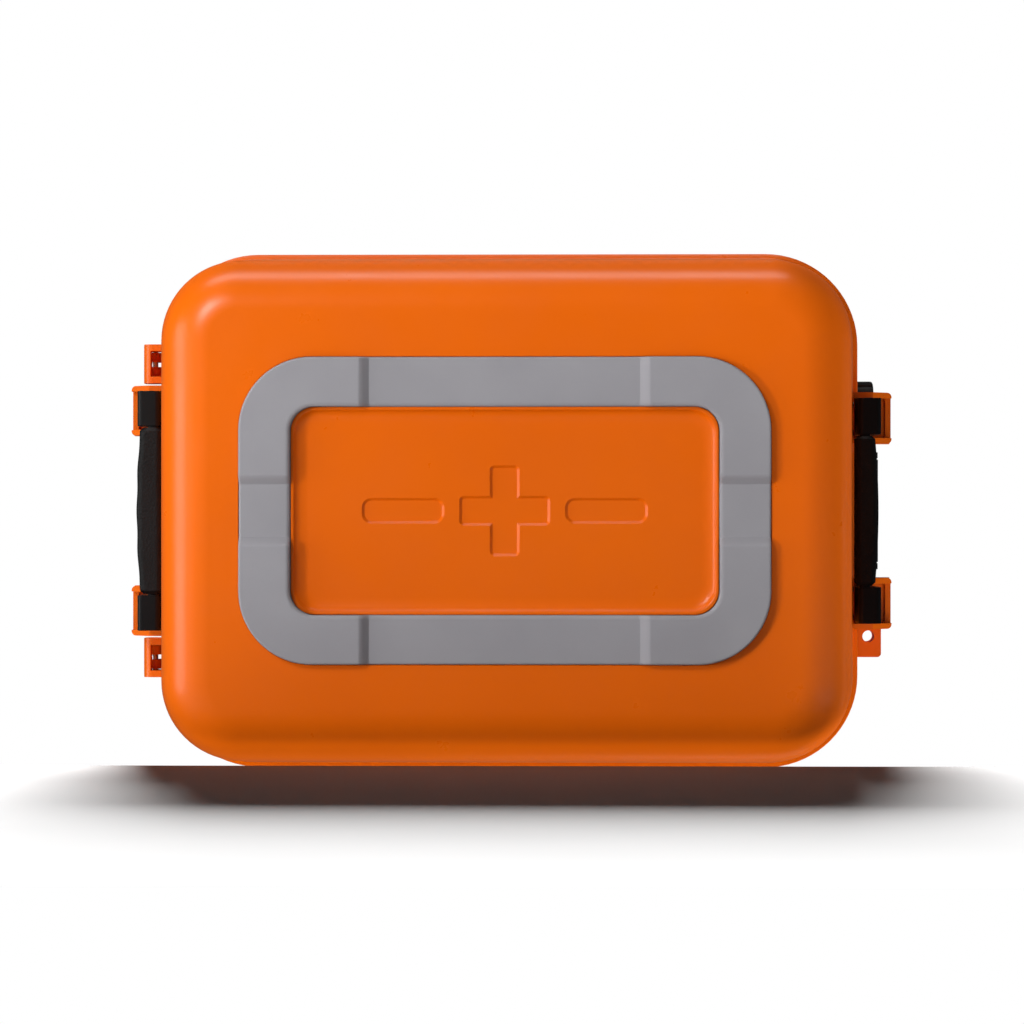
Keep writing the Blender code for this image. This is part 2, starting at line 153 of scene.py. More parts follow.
def moulded_plastic(name, color, dark, roughness, grain, specular=0.5):
    """Moulded plastic: fine grain, faint flow marks and slightly rubbed, glossier patches."""
    mat, tree, shader = new_material(name, color, roughness, specular=specular)
    flow = texture(tree, "ShaderNodeTexNoise", 9.0, (1.0, 1.0, 0.5), Detail=3.0, Roughness=0.55)
    tone = spread(tree, flow.outputs["Fac"], 0.35, 0.65, 0.0, 1.0)
    fine = texture(tree, "ShaderNodeTexNoise", 900.0, Detail=2.0)
    rubbed = texture(tree, "ShaderNodeTexNoise", 38.0, Detail=6.0, Roughness=0.6)
    tree.links.new(blend_color(tree, tone, color, dark), shader.inputs["Base Color"])
    tree.links.new(spread(tree, rubbed.outputs["Fac"], 0.3, 0.7, roughness - 0.03, roughness + 0.04),
                   shader.inputs["Roughness"])
    add_bumps(tree, shader, [(flow.outputs["Fac"], 0.0001, 0.1), (fine.outputs["Fac"], grain, 0.35)])
    return mat


def pebbled_rubber(name, color, dark, roughness, pebble, depth, strength=0.5):
    """Rubber with a pebbled skin and a faint cloudy tone."""
    mat, tree, shader = new_material(name, color, roughness, specular=0.35)
    cells = texture(tree, "ShaderNodeTexVoronoi", pebble)
    cloud = texture(tree, "ShaderNodeTexNoise", 24.0, Detail=4.0)
    shade = spread(tree, cloud.outputs["Fac"], 0.35, 0.65, 0.0, 1.0)
    tree.links.new(blend_color(tree, shade, color, dark), shader.inputs["Base Color"])
    tree.links.new(spread(tree, cells.outputs["Distance"], 0.0, 0.6, roughness - 0.1, roughness + 0.08),
                   shader.inputs["Roughness"])
    add_bumps(tree, shader, [(cells.outputs["Distance"], depth, strength)])
    return mat


def brushed_metal(name, color, stretch):
    mat, tree, shader = new_material(name, color, 0.3, metallic=1.0)
    lines = texture(tree, "ShaderNodeTexNoise", 700.0, stretch, Detail=3.0)
    tree.links.new(spread(tree, lines.outputs["Fac"], 0.3, 0.7, 0.22, 0.45), shader.inputs["Roughness"])
    add_bumps(tree, shader, [(lines.outputs["Fac"], 0.00005, 0.4)])
    return mat


ORANGE = moulded_plastic("shell_orange", (0.79, 0.13, 0.0), (0.76, 0.122, 0.0), 0.3, 0.00002, 0.42)
GREY = pebbled_rubber("foot_grey", (0.30, 0.292, 0.312), (0.28, 0.272, 0.292), 0.62, 1500.0, 0.00005, 0.3)
BLACK = moulded_plastic("black_nylon", (0.0045, 0.0045, 0.005), (0.003, 0.003, 0.0035), 0.42, 0.00004, 0.3)
GRIP = pebbled_rubber(
    "grip_rubber", (0.0045, 0.0048, 0.0053), (0.003, 0.0033, 0.0036), 0.55, 900.0, 0.0002, 0.8
)
STEEL = brushed_metal("steel", (0.60, 0.60, 0.62), (1.0, 0.08, 1.0))
SEAL = pebbled_rubber("gasket_rubber", (0.02, 0.02, 0.021), (0.014, 0.014, 0.015), 0.75, 1800.0, 0.00004)
TRAY = moulded_plastic("tray_plastic", (0.60, 0.60, 0.58), (0.55, 0.55, 0.54), 0.5, 0.00005)


# ---------------------------------------------------------------- shape tools


def rounded(section, z, n=CORNER):
    """Rounded rectangle about the Z axis, anticlockwise from above, with one straight edge between corners.
    """
    hx, hy, r = section
    points = []
    for sx, sy, start in ((1, 1, 0), (-1, 1, 90), (-1, -1, 180), (1, -1, 270)):
        for i in range(n + 1):
            a = math.radians(start + 90 * i / n)
            points.append((sx * (hx - r) + r * math.cos(a), sy * (hy - r) + r * math.sin(a), z))
    return points


def inset(section, d):
    return (section[0] - d, section[1] - d, section[2] - d)


def between(a, b, share):
    return tuple(p + (q - p) * share for p, q in zip(a, b))


def quarter(section, z, radius, steps, start, stop, z_sign):
    """Rings of a quarter-round whose upright wall is the given section at height z."""
    rings = []
    for i in range(steps + 1):
        a = math.radians(start + (stop - start) * i / steps)
        rings.append(rounded(inset(section, radius * (1 - math.cos(a))), z + z_sign * radius * math.sin(a)))
    return rings


def loft(rings, closed=False):
    bm = bmesh.new()
    rows = [[bm.verts.new(p) for p in ring] for ring in rings]
    pairs = list(zip(rows, rows[1:]))
    if closed:
        pairs.append((rows[-1], rows[0]))
    for low, high in pairs:
        for i in range(len(low)):
            j = (i + 1) % len(low)
            bm.faces.new((low[i], low[j], high[j], high[i]))
    if not closed:
        bm.faces.new(list(reversed(rows[0])))
        bm.faces.new(rows[-1])
    bmesh.ops.recalc_face_normals(bm, faces=bm.faces)
    return bm


def box(x0, x1, y0, y1, z0, z1, round_along=None, width=0.0, steps=4):
    """Box, with the edges along one axis rounded if round_along is 0, 1 or 2."""
    bm = bmesh.new()
    bmesh.ops.create_cube(bm, size=1.0)
    bmesh.ops.scale(bm, vec=(abs(x1 - x0), abs(y1 - y0), abs(z1 - z0)), verts=bm.verts)
    bmesh.ops.translate(bm, vec=((x0 + x1) / 2, (y0 + y1) / 2, (z0 + z1) / 2), verts=bm.verts)
    if round_along is not None:
        along = [e for e in bm.edges if abs((e.verts[0].co - e.verts[1].co)[round_along]) > 0.5]
        bmesh.ops.bevel(bm, geom=along, offset=width, segments=steps, affect="EDGES", profile=0.5)
    return bm


def turned(profile, axis, centre, segments=48):
    """Solid of revolution from (place along the axis, radius) pairs."""
    rings = []
    for place, r in profile:
        ring = []
        for i in range(segments):
            a = 2 * math.pi * i / segments
            point = [centre[0], centre[1], centre[2]]
            point[axis] += place
            point[(axis + 1) % 3] += r * math.cos(a)
            point[(axis + 2) % 3] += r * math.sin(a)
            ring.append(tuple(point))
        rings.append(ring)
    return loft(rings)


def rod(radius, y0, y1, x, z, segments=32):
    """Cylinder along Y."""
    return turned(((min(y0, y1), radius), (max(y0, y1), radius)), 1, (x, 0.0, z), segments)


def prism(outline, y0, y1):
    """Extrusion along Y of an (x, z) outline."""
    return loft([[(x, y0, z) for x, z in outline], [(x, y1, z) for x, z in outline]])


def arc(cx, cz, r, start, stop, steps):
    angles = [math.radians(start + (stop - start) * i / steps) for i in range(steps + 1)]
    return [(cx + r * math.cos(a), cz + r * math.sin(a)) for a in angles]


def screw_bore(obj, x0, x1, y, z):
    """Bores along X for one screw."""
    low, high = sorted((x0, x1))
    carve(obj, turned(((low, SCREW_BORE), (high, SCREW_BORE)), 0, (0.0, y, z), 20))


def flip(bm, sx, sy):
    """Mirrors a mesh made for the +X, +Y corner into another corner."""
    bmesh.ops.scale(bm, vec=(sx, sy, 1.0), verts=bm.verts)
    bmesh.ops.recalc_face_normals(bm, faces=bm.faces)
    return bm


def wall_x(z):
    """Distance of the drafted end wall from the middle plane at height z."""
    return BASE[0] + (WALL[0] - BASE[0]) * (z - BASE_Z) / (WALL_Z - BASE_Z)


def make_object(name, bm):
    mesh = bpy.data.meshes.new(name)
    bmesh.ops.scale(bm, vec=(MM, MM, MM), verts=bm.verts)
    bmesh.ops.recalc_face_normals(bm, faces=bm.faces)
    bm.to_mesh(mesh)
    bm.free()
    obj = bpy.data.objects.new(name, mesh)
    bpy.context.scene.collection.objects.link(obj)
    return obj


def settle(obj):
    """Replaces the object's mesh by its mesh with the modifiers applied."""
    graph = bpy.context.evaluated_depsgraph_get()
    mesh = bpy.data.meshes.new_from_object(obj.evaluated_get(graph))
    obj.modifiers.clear()
    obj.data = mesh


def carve(obj, bm, operation="DIFFERENCE"):
    cutter = make_object("cutter", bm)
    mod = obj.modifiers.new("carve", "BOOLEAN")
    mod.operation = operation
    mod.object = cutter
    mod.solver = "EXACT"
    settle(obj)
    bpy.data.objects.remove(cutter, do_unlink=True)


def soften(obj, width, segments=3, angle=35.0):
    mod = obj.modifiers.new("soft edges", "BEVEL")
    mod.width = width * MM
    mod.segments = segments
    mod.limit_method = "ANGLE"
    mod.angle_limit = math.radians(angle)
    mod.use_clamp_overlap = True
    mod.harden_normals = True


def dress(obj, mat, angle=30.0):
    """One material, smooth shading with sharp edges kept, and flat faces that stay flat."""
    settle(obj)
    obj.data.materials.clear()
    obj.data.materials.append(mat)
    for poly in obj.data.polygons:
        poly.material_index = 0
        poly.use_smooth = True
    obj.data.set_sharp_from_angle(angle=math.radians(angle))
    mod = obj.modifiers.new("flat faces", "WEIGHTED_NORMAL")
    mod.keep_sharp = True
    settle(obj)


def piece(obj, mat, body, node, width=0.0, segments=3):
    """Finishes a piece that stands for one CAD node and rides on a body."""
    if width:
        soften(obj, width, segments)
    dress(obj, mat)
    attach(obj, body)
    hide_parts(node)
    return obj


# ---------------------------------------------------------------- shells


def shell_outside():
    """Rings from the middle of the base recess outwards and up to the top of the rim."""
    recess = (96.4, 42.3, 5.6)
    mouth = (103.6, 49.5, 12.2)
    rings = [rounded(recess, RECESS_Z)]
    slope = ((0.15, 7.97), (0.35, 7.85), (0.55, 7.6), (0.73, 7.2), (0.87, 6.6), (0.95, 5.9), (0.99, 5.4))
    for share, z in slope + ((1.02, 5.2), (1.1, BASE_FLAT_Z)):
        rings.append(rounded(between(recess, mouth, share), z))
    seat_in, seat_out = inset(FOOT_INNER, FIT), inset(FOOT_OUTER, -FIT)
    rings += [rounded(seat_in, BASE_FLAT_Z), rounded(seat_in, 6.5)]
    rings += [rounded(seat_out, 6.5), rounded(seat_out, 5.2)]
    rings.append(rounded(inset(seat_out, -0.2), BASE_FLAT_Z))
    rings += quarter(BASE, BASE_Z, BASE_FILLET, 16, 90, 0, -1)
    for share in (0.25, 0.5, 0.75, 1.0):
        rings.append(rounded(between(BASE, WALL, share), BASE_Z + (WALL_Z - BASE_Z) * share))
    for d, z in ((2.2, 148.7), (0.9, 149.3), (0.25, 149.9), (0.0, 150.6), (0.0, 164.2), (0.25, 164.75)):
        rings.append(rounded(inset(RIM, d), z))
    rings.append(rounded(inset(RIM, 0.8), PART_Z))
    return rings


def shell_inside():
    """Rings from the top of the rim down to the floor."""
    seat, mouth, inner = inset(RIM, 8.0), inset(RIM, 11.0), inset(BASE, 4.0)
    rings = [rounded(inset(seat, -0.5), PART_Z), rounded(seat, PART_Z - 0.5), rounded(seat, 159.6)]
    rings += [rounded(inset(mouth, -0.5), 159.6), rounded(mouth, 159.1), rounded(mouth, 152.0)]
    rings += [rounded(inset(WALL, 4.3), 147.0), rounded(inner, BASE_Z)]
    rings += quarter(inner, BASE_Z, FLOOR_FILLET, 8, 0, 90, -1)[1:]
    return rings


def hinge_lug_outline():
    """(x, z) outline of one of the lid's hinge knuckles."""
    return [(-181.5, 165.6), (-181.5, 176.0), (-184.5, 176.0)] + arc(*HINGE, BARREL_RADIUS, 135, 360, 28)


def lock_lug(z0, z1):
    """Padlock lug with rounded outer corners."""
    outer_x, low, high = LOCK_LUG
    lug = box(181.5, outer_x, low, high, z0, z1)
    upright = [e for e in lug.edges if abs(e.verts[0].co.z - e.verts[1].co.z) > 1]
    outer = [e for e in upright if min(v.co.x for v in e.verts) > 190]
    bmesh.ops.bevel(lug, geom=outer, offset=2.0, segments=6, affect="EDGES", profile=0.5)
    return lug


def tapered(x, section, low, high, slope):
    """Cutter with sloped sides, narrower at its upper end, centred at x."""
    rings = [rounded(section, low, 8), rounded(inset(section, slope), high, 8)]
    return loft([[(x + px, py, pz) for px, py, pz in ring] for ring in rings])


def emblem():
    """Plain cross between two short bars, as separate cutters with sloped sides."""
    cross = [tapered(0.0, section, *EMBLEM_Z, 2.0) for section in ((23.0, 8.0, 3.0), (8.0, 23.0, 3.0))]
    return cross + [tapered(sign * 50.0, (21.0, 7.0, 5.5), *EMBLEM_Z, 2.0) for sign in (-1, 1)]


def make_lower_shell():
    obj = make_object("case_lower_shell", loft(shell_outside() + shell_inside()))
    for bar in emblem():
        carve(obj, bar)
    carve(obj, lock_lug(156.0, 164.8), "UNION")
    carve(obj, turned(((150.0, LOCK_RADIUS), (170.0, LOCK_RADIUS)), 2, (*LOCK_HOLE, 0.0)))
    for end, sign in ENDS.items():
        low, high = GUARD_Y[end]
        for side in SIDES.values():
            for y in (low + SCREW_INSET, high - SCREW_INSET):
                screw_bore(obj, sign * 172.0, sign * 183.0, side * y, SCREW_Z)
    y, z = LATCH_SCREW
    for sign in (-1, 1):
        screw_bore(obj, 176.4, 184.0, sign * y, z)
    return piece(obj, ORANGE, "case", "lower_shell", 0.35, 2)


def make_hinge_bracket(side):
    """Two cheeks, a low outer wall and a back plate, with rounded outer corners."""
    low, high = HINGE_Y
    back = -RIM[0] - FIT
    foot = [(back, 150.8)] + arc(HINGE_OUTER_X + 5.0, 155.8, 5.0, 270, 180, 8)
    bm = prism(foot + arc(*HINGE, BARREL_RADIUS, 0, 180, 24)[::-1] + [(back, 164.6)], low, high)
    outer = [v for v in bm.verts if v.co.y > high - 0.1 and v.co.x < HINGE_OUTER_X + 0.1]
    edges = [e for e in bm.edges if all(v in outer for v in e.verts)]
    bmesh.ops.bevel(bm, geom=edges, offset=2.6, segments=6, affect="EDGES", profile=0.5)
    sign = SIDES[side]
    obj = make_object(f"case_hinge_bracket_{side}", flip(bm, 1, sign))
    y0, y1 = low + 3.5, high - 3.5
    carve(obj, flip(box(-191.5, back - 1.2, y0, y1, 145.0, 175.0), 1, sign))
    carve(obj, flip(box(-200.0, back + 1.0, y0, y1, 159.6, 175.0), 1, sign))
    carve(obj, rod(BORE_RADIUS, sign * (low - 2.0), sign * (high + 2.0), *HINGE))
    return piece(obj, ORANGE, "case", f"hinge_bracket_{side}", 0.4, 3)


def make_lid():
    """Domed lid with a stacking recess, a gasket groove, hinge knuckles, a padlock lug and a latch ledge."""
    shoulder = inset(RIM, 4.3)
    lip = inset(RIM, 8.0)
    well = (134.0, 79.0, 38.5)
    rings = [rounded(well, 213.5), rounded(inset(well, -0.6), 213.7), rounded(inset(well, -1.0), 214.3)]
    rings += [rounded(inset(well, -1.2), 215.3), rounded(inset(well, -2.0), LID_TOP)]
    rings += quarter(shoulder, LID_SHOULDER_Z, LID_TOP - LID_SHOULDER_Z, 14, 90, 0, 1)
    rings.append(rounded(WALL, 178.9))
    for d, z in ((2.1, 178.4), (0.8, 177.9), (0.2, 177.3), (0.0, 176.6), (0.0, 166.2), (0.25, 165.6)):
        rings.append(rounded(inset(RIM, d), z))
    for d, z in ((0.7, 165.3), (2.3, 165.3), (2.3, 168.4), (5.7, 168.4), (5.7, 165.3)):
        rings.append(rounded(inset(RIM, d), z))
    rings += [rounded(inset(lip, -0.4), 165.3), rounded(lip, 165.7)]
    rings += quarter(lip, LID_SHOULDER_Z, 16.0, 8, 0, 90, 1)
    obj = make_object("case_lid_shell", loft(rings))
    low, high = HINGE_Y
    for sign in (-1, 1):
        for y0, y1 in ((low + 4.0, low + 9.0), (high - 9.0, high - 4.0)):
            carve(obj, prism(hinge_lug_outline(), sign * y0, sign * y1), "UNION")
        carve(obj, rod(BORE_RADIUS, sign * (low - 2.0), sign * (high + 2.0), *HINGE))
    carve(obj, lock_lug(165.5, 173.5), "UNION")
    carve(obj, turned(((160.0, LOCK_RADIUS), (176.5, LOCK_RADIUS)), 2, (*LOCK_HOLE, 0.0)))
    ledge = [(178.5, 179.5), (182.0, 179.5)] + arc(182.0, 182.5, 1.3, -80, 90, 8) + [(178.5, 183.8)]
    carve(obj, prism(ledge, -23.0, 23.0), "UNION")
    carve(obj, turned(((170.0, 6.2), (186.0, 6.2)), 0, (0.0, *VALVE)))
    return piece(obj, ORANGE, "lid", "lid_shell", 0.35, 2)


def make_foot_ring():
    """Rubber band with four raised corners, rounded edges and sloped steps."""
    xo, yo, ro = FOOT_OUTER
    xi, yi, ri = FOOT_INNER
    slope = [(0.0, FOOT_DROP), (0.15, FOOT_DROP - 0.02), (0.32, FOOT_DROP * 0.8)]
    slope += [(0.55, FOOT_DROP * 0.4), (0.8, 0.3), (1.0, 0.0)]
    stations = []
    for t, z in slope:
        stations.append((xo, 12.0 + 6.0 * t, xi, 12.0 + 6.0 * t, z))
    for i in range(CORNER + 1):
        a = math.radians(90 * i / CORNER)
        c, s = math.cos(a), math.sin(a)
        stations.append((xo - ro + ro * c, yo - ro + ro * s, xi - ri + ri * c, yi - ri + ri * s, 0.0))
    for t, z in reversed(slope):
        stations.append((65.5 + 6.5 * t, yo, 65.5 + 6.5 * t, yi, z))
    around = list(stations)
    around += [(-a, b, -c, d, z) for a, b, c, d, z in reversed(stations)]
    around += [(-a, -b, -c, -d, z) for a, b, c, d, z in stations]
    around += [(a, -b, c, -d, z) for a, b, c, d, z in reversed(stations)]
    turns = [math.radians(degrees) for degrees in range(0, 91, 18)]
    outer_edge = [(1.2 * (1 - math.cos(a)), 1.2 * (1 - math.sin(a))) for a in turns]
    inner_edge = [(-2.4 * (1 - math.sin(a)), 1.9 * (1 - math.cos(a))) for a in turns]
    profile = [(0.0, None)] + outer_edge + inner_edge + [(-0.0001, None)]
    rings = []
    for d, rise in profile:
        ring = []
        for ax, ay, bx, by, z in around:
            span = math.hypot(bx - ax, by - ay)
            share = d / span if d >= 0 else 1.0 + d / span
            height = 6.3 if rise is None else z + rise
            ring.append((ax + (bx - ax) * share, ay + (by - ay) * share, height))
        rings.append(ring)
    obj = make_object("case_foot_ring", loft(rings, closed=True))
    return piece(obj, GREY, "case", "foot_ring")


# ---------------------------------------------------------------- handles


def make_guard(end, side):
    """Hooded bracket for one handle arm, with rounded outer corners."""
    low, high = GUARD_Y[end]
    sx, sy = ENDS[end], SIDES[side]
    bottom, top = GUARD_Z
    outline = [(wall_x(bottom) + FIT, bottom), (188.5, bottom), (GUARD_X, 131.0)]
    outline += arc(GUARD_X - 2.5, top - 2.5, 2.5, 0, 90, 6)
    outline.append((wall_x(top) + FIT, top))
    bm = prism(outline, low, high)
    upright = [e for e in bm.edges if abs(e.verts[0].co.z - e.verts[1].co.z) > 1]
    edges = [e for e in upright if all(v.co.x > GUARD_X - 0.1 for v in e.verts)]
    bmesh.ops.bevel(bm, geom=edges, offset=2.4, segments=6, affect="EDGES", profile=0.5)
    obj = make_object(f"case_{end}_guard_{side}", flip(bm, sx, sy))
    y0, y1 = low + GUARD_WALL, high - GUARD_WALL
    carve(obj, flip(box(170.0, GUARD_X - GUARD_WALL, y0, y1, 110.0, 141.2, 2, 1.5, 4), sx, sy))
    carve(obj, flip(box(188.0, GUARD_X + 5.0, y0, y1, 109.0, 137.5), sx, sy))
    carve(obj, rod(BORE_RADIUS, sy * (low - 2), sy * (high + 2), sx * PIVOT[0], PIVOT[1]))
    for y in (low + SCREW_INSET, high - SCREW_INSET):
        screw_bore(obj, sx * 176.0, sx * 190.0, sy * y, SCREW_Z)
    return piece(obj, ORANGE, "case", f"{end}_guard_{side}", 0.5, 3)


def make_handle(end):
    """Bail with two rounded arms, stiffened by a shallow groove on each, and a cross bar."""
    low, high = GUARD_Y[end]
    sx = ENDS[end]
    y0, y1 = low + 4.0, high - 4.0
    obj = make_object(f"case_{end}_handle", flip(box(179.2, 184.6, -y1, y1, 83.0, 99.0, 1, 1.5), sx, 1))
    lower = arc(181.1, 84.7, 2.5, 180, 270, 6) + arc(187.7, 84.7, 2.5, 270, 360, 6)
    outline = arc(*PIVOT, BARREL_RADIUS, 0, 180, 20) + [(178.6, 112.0)]
    outline += lower + [(190.2, 100.0), (189.5, 120.0)]
    for sy in (-1, 1):
        carve(obj, flip(prism(outline, y0, y1), sx, sy), "UNION")
        groove = box(188.8, 193.0, y0 + 4.0, y1 - 4.0, 90.0, 118.0, 0, 2.0)
        carve(obj, flip(groove, sx, sy))
        carve(obj, rod(BORE_RADIUS, sy * (y0 - 2), sy * (y1 + 2), sx * PIVOT[0], PIVOT[1]))
    return piece(obj, BLACK, f"handle_{end}", f"{end}_handle", 0.7, 3)


def rounded_section(x0, x1, z0, z1, r, steps=6):
    """(x, z) outline of a rectangle with rounded corners."""
    points = []
    centres = ((x1 - r, z1 - r), (x0 + r, z1 - r), (x0 + r, z0 + r), (x1 - r, z0 + r))
    for (cx, cz), start in zip(centres, (0, 90, 180, 270)):
        points += arc(cx, cz, r, start, start + 90, steps)
    return points


def make_grip(end):
    """Moulded sleeve, bowed outwards, with rounded ends and, at the left, shallow finger waves."""
    half = GUARD_Y[end][0] + 3.2
    sx = ENDS[end]
    face, bow = {"left": (188.6, 1.9), "right": (187.0, 1.8)}[end]
    rings = []
    count = 48
    for i in range(count + 1):
        share = 2 * i / count - 1
        end_trim = max(0.0, abs(share) - 0.965) / 0.035
        trim = 1.6 * (1 - math.sqrt(max(0.0, 1 - end_trim * end_trim)))
        wave = 0.18 * math.cos(share * math.pi * 4) if end == "left" else 0.0
        out = face + bow * (1 - share * share) - trim + wave
        section = rounded_section(177.3 + trim, out, 80.6 + trim, 101.4 - trim, 3.2)
        rings.append([(x, share * half, z) for x, z in section])
    obj = make_object(f"case_{end}_grip", flip(loft(rings), sx, 1))
    carve(obj, flip(box(178.9, 184.9, -half - 3, half + 3, 82.7, 99.3, 1, 1.4), sx, 1))
    return piece(obj, GRIP, f"handle_{end}", f"{end}_grip")


# ---------------------------------------------------------------- latch, valve, tray


def make_latch_base():
    """Plate on the rim with two ears for the latch pin."""
    foot = arc(190.6, 148.3, 2.4, 270, 360, 6)
    ear = [(182.8, 150.8), (186.5, 145.9)] + foot
    ear += [(193.0, 153.0), (190.3, 157.0), (186.4, 163.8), (182.8, 163.8)]
    obj = make_object("case_latch_base", box(182.8, 185.2, -30.8, 30.8, 155.6, 163.8))
    for sign in (-1, 1):
        carve(obj, prism(ear, sign * 27.6, sign * 30.8), "UNION")
    carve(obj, rod(BORE_RADIUS, -34.0, 34.0, *LATCH))
    y, z = LATCH_SCREW
    for sign in (-1, 1):
        screw_bore(obj, 180.0, 188.0, sign * y, z)
    return piece(obj, BLACK, "case", "latch_base", 0.4, 3)


def make_latch_lever():
    """Paddle with a rolled finger edge, a hook and three grip ribs."""
    tip = arc(191.7, 189.6, 1.6, 100, -60, 8)
    outline = [(187.2, 155.4), (187.2, 184.6), (184.0, 184.6), (184.0, 186.8), (185.0, 188.4)]
    outline += [(187.2, 190.4)] + tip + [(191.0, 186.2), (190.6, 183.0), (190.6, 158.0)]
    outline += arc(*LATCH, 4.0, 55, -235, 30)
    obj = make_object("case_latch_lever", prism(outline, -27.0, 27.0))
    carve(obj, box(189.7, 193.0, -21.0, 21.0, 160.0, 180.0, 0, 3.0))
    for z in (165.0, 170.0, 175.0):
        carve(obj, box(189.0, 190.4, -18.0, 18.0, z - 0.9, z + 0.9, 1, 0.5), "UNION")
    carve(obj, rod(BORE_RADIUS, -34.0, 34.0, *LATCH))
    return piece(obj, BLACK, "lever", "latch_lever", 0.5, 3)


def make_valve():
    """Flanged plug with a stem through the lid's end wall, and a knob with twelve finger grooves on it."""
    y, z = VALVE
    profile = ((175.0, 5.7), (175.3, 6.0), (180.3, 6.0), (180.3, 10.2), (180.7, 10.6))
    profile += ((181.6, 10.6), (182.0, 10.2), (182.0, 2.6), (186.7, 2.6), (187.0, 2.3))
    piece(make_object("case_valve_body", turned(profile, 0, (0.0, y, z))), BLACK, "lid", "valve_body")
    knob = ((182.4, 8.8), (182.8, 9.6), (183.3, 10.2), (192.0, 10.2))
    knob += ((192.7, 9.9), (193.2, 9.0), (193.2, 5.5), (192.6, 4.8))
    obj = make_object("case_valve_knob", turned(knob, 0, (0.0, y, z)))
    carve(obj, turned(((181.0, 2.9), (187.5, 2.9)), 0, (0.0, y, z)))
    for k in range(12):
        a = math.radians(30 * k + 15)
        place = (0.0, y + 10.9 * math.cos(a), z + 10.9 * math.sin(a))
        carve(obj, turned(((184.6, 1.5), (194.6, 1.5)), 0, place, 20))
    return piece(obj, BLACK, "knob", "valve_knob", 0.25, 2)


def make_tray():
    """Tray with a flange that hangs on the rim's inner step, one long divider and two cross dividers."""
    flange, wall = inset(RIM, 9.4), inset(RIM, 11.9)
    foot = inset(wall, 3.1)
    rings = quarter(foot, 128.0, 8.0, 8, 90, 0, -1)
    rings += [rounded(wall, 159.9), rounded(inset(flange, 0.4), 159.9), rounded(flange, 160.3)]
    rings += [rounded(flange, 161.8), rounded(inset(flange, 0.4), 162.2), rounded(inset(wall, 1.6), 162.2)]
    rings.append(rounded(inset(wall, 2.2), 161.4))
    rings += quarter(inset(foot, 2.2), 128.0, 5.7, 6, 0, 90, -1)
    obj = make_object("case_tray", loft(rings))
    carve(obj, box(-167.5, 167.5, -1.0, 1.0, 121.2, 156.0), "UNION")
    for x in (-56.0, 56.0):
        carve(obj, box(x - 1.0, x + 1.0, -120.0, 120.0, 121.2, 150.0), "UNION")
    return piece(obj, TRAY, "tray_body", "tray", 0.3, 2)


def make_gasket():
    """Seal in the lid's groove, with a rounded lower lip."""
    outer, inner = inset(RIM, 2.45), inset(RIM, 5.55)
    middle = between(outer, inner, 0.5)
    rings = [rounded(outer, 165.6), rounded(outer, 168.1), rounded(inner, 168.1), rounded(inner, 165.6)]
    rings += [rounded(between(inner, middle, 0.4), 165.2), rounded(middle, 165.1)]
    rings.append(rounded(between(outer, middle, 0.4), 165.2))
    return piece(make_object("case_gasket", loft(rings, closed=True)), SEAL, "lid", "lid_gasket")


def make_pin(name, node, y0, y1, x, z, body):
    """Steel pin with small end chamfers."""
    low, high = min(y0, y1), max(y0, y1)
    chamfer = 0.4
    profile = ((low, PIN_RADIUS - chamfer), (low + chamfer, PIN_RADIUS))
    profile += ((high - chamfer, PIN_RADIUS), (high, PIN_RADIUS - chamfer))
    return piece(make_object(name, turned(profile, 1, (x, 0.0, z), 32)), STEEL, body, node)


def make_screw(name, node, head_x, seat_x, tip_x, y, z):
    """Domed screw along X with a hexagon socket in its head."""
    sign = 1 if tip_x > head_x else -1
    dome = seat_x - head_x
    profile = [(head_x, SCREW_HEAD * 0.72), (head_x + dome * 0.3, SCREW_HEAD * 0.93)]
    profile += [(head_x + dome * 0.65, SCREW_HEAD), (seat_x, SCREW_HEAD), (seat_x, SCREW_RADIUS)]
    profile += [(tip_x - sign * 0.6, SCREW_RADIUS), (tip_x, SCREW_RADIUS - 0.5)]
    obj = make_object(name, turned(profile, 0, (0.0, y, z), 32))
    socket = [(head_x - sign * 0.5, 1.25), (head_x + sign * 1.1, 1.25)]
    carve(obj, turned(socket if sign > 0 else socket[::-1], 0, (0.0, y, z), 6))
    return piece(obj, STEEL, "case", node)


def make_hardware():
    """Hinge brackets, pins and screws."""
    y, z = LATCH_SCREW
    for side, sign in SIDES.items():
        make_hinge_bracket(side)
        node = f"hinge_pin_{side}"
        make_pin(f"case_{node}", node, sign * (HINGE_Y[0] + 0.2), sign * (HINGE_Y[1] - 0.2), *HINGE, "case")
        node = f"latch_screw_{side}"
        make_screw(f"case_{node}", node, 186.8, 185.4, 177.0, sign * y, z)
    make_pin("case_latch_pin", "latch_pin", -30.4, 30.4, *LATCH, "case")
    for end, sx in ENDS.items():
        low, high = GUARD_Y[end]
        for side, sy in SIDES.items():
            node = f"{end}_pivot_pin_{side}"
            y0, y1 = sy * (low + 0.3), sy * (high - 0.3)
            make_pin(f"case_{node}", node, y0, y1, sx * PIVOT[0], PIVOT[1], "case")
            for tag, y in (("inner", low + SCREW_INSET), ("outer", high - SCREW_INSET)):
                node = f"{end}_guard_{side}_screw_{tag}"
                make_screw(f"case_{node}", node, sx * 173.2, sx * 175.1, sx * 189.4, sy * y, SCREW_Z)


make_lower_shell()
make_lid()
make_foot_ring()
make_gasket()
make_tray()
make_latch_base()
make_latch_lever()
make_valve()
make_hardware()
for end in ENDS:
    make_handle(end)
    make_grip(end)
    for side in SIDES:
        make_guard(end, side)


# ---------------------------------------------------------------- stage, light, camera

# Metres from here on.
DISTANCE = 1.861
LENS = 133.8
SENSOR = 36.0
FLOOR_Y = 0.1246
FLOOR_HALF_WIDTH = 0.7
FLOOR_Z = (-0.6, -0.004)
WORLD_LIGHT = 0.06
AIM = (0.0, 0.0, 0.08)


